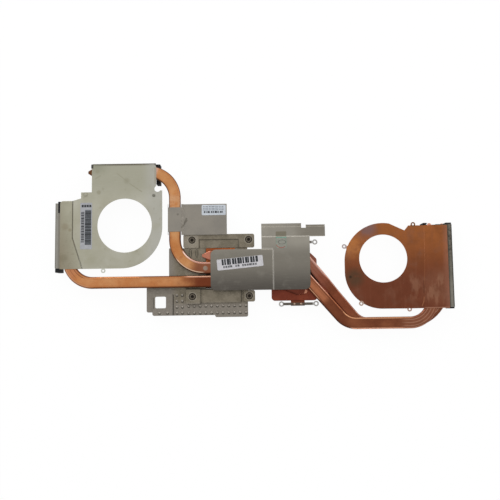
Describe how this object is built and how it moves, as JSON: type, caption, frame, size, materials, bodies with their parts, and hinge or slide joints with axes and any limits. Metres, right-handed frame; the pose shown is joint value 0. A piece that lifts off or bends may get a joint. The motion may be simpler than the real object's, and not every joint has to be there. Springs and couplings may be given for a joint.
{
  "type": "laptop cooling fan heatsink",
  "caption": "Flat laptop heatsink module: flattened copper heat pipes join chip base plates and a die-cast memory plate to fin stacks under open fan covers.",
  "frame": {"origin": "middle of the bounding box, at the level that the fin stacks stand on", "axes": "+X along the laptop's rear edge to the copper fan cover, +Y to the laptop's rear, +Z away from the circuit board"},
  "size_m": [0.3284, 0.14, 0.0128],
  "materials": {
    "left_cover_metal": "satin",
    "centre_cover_metal": "satin",
    "cast_metal": "as cast",
    "fin_metal": "folded sheet",
    "pipe_copper": "satin copper",
    "dark_copper": "tarnished copper",
    "cover_copper": "tarnished copper sheet",
    "spring_steel": "satin",
    "screw_steel": "blackened",
    "black_foam": "open foam",
    "thermal_pad": "soft pad",
    "label_film": "printed film"
  },
  "bodies": {
    "root": {"left_fan_cover": "left_cover_metal", "left_side_duct_cover": "left_cover_metal", "right_fan_cover": "cover_copper", "left_rear_fin_stack": "fin_metal", "left_side_fin_stack": "fin_metal", "right_fin_stack": "fin_metal", "left_rear_heat_pipe": "pipe_copper", "left_side_heat_pipe": "pipe_copper", "right_outer_heat_pipe": "dark_copper", "right_inner_heat_pipe": "dark_copper", "memory_plate": "cast_metal", "gpu_base_plate": "pipe_copper", "cpu_base_plate": "dark_copper", "regulator_plate": "centre_cover_metal", "centre_cover": "centre_cover_metal", "lower_spring_clip": "spring_steel", "upper_spring_clip": "spring_steel", "clip_rivets": "spring_steel", "gpu_screws": "screw_steel", "screw_washers": "screw_steel", "left_rear_foam": "black_foam", "left_side_foam": "black_foam", "right_foam": "black_foam", "left_cover_label": "label_film", "regulator_label": "label_film", "centre_label": "label_film", "seal_label": "label_film", "memory_pads": "thermal_pad", "regulator_pads": "thermal_pad", "choke_pad": "thermal_pad"}
  },
  "joints": []
}
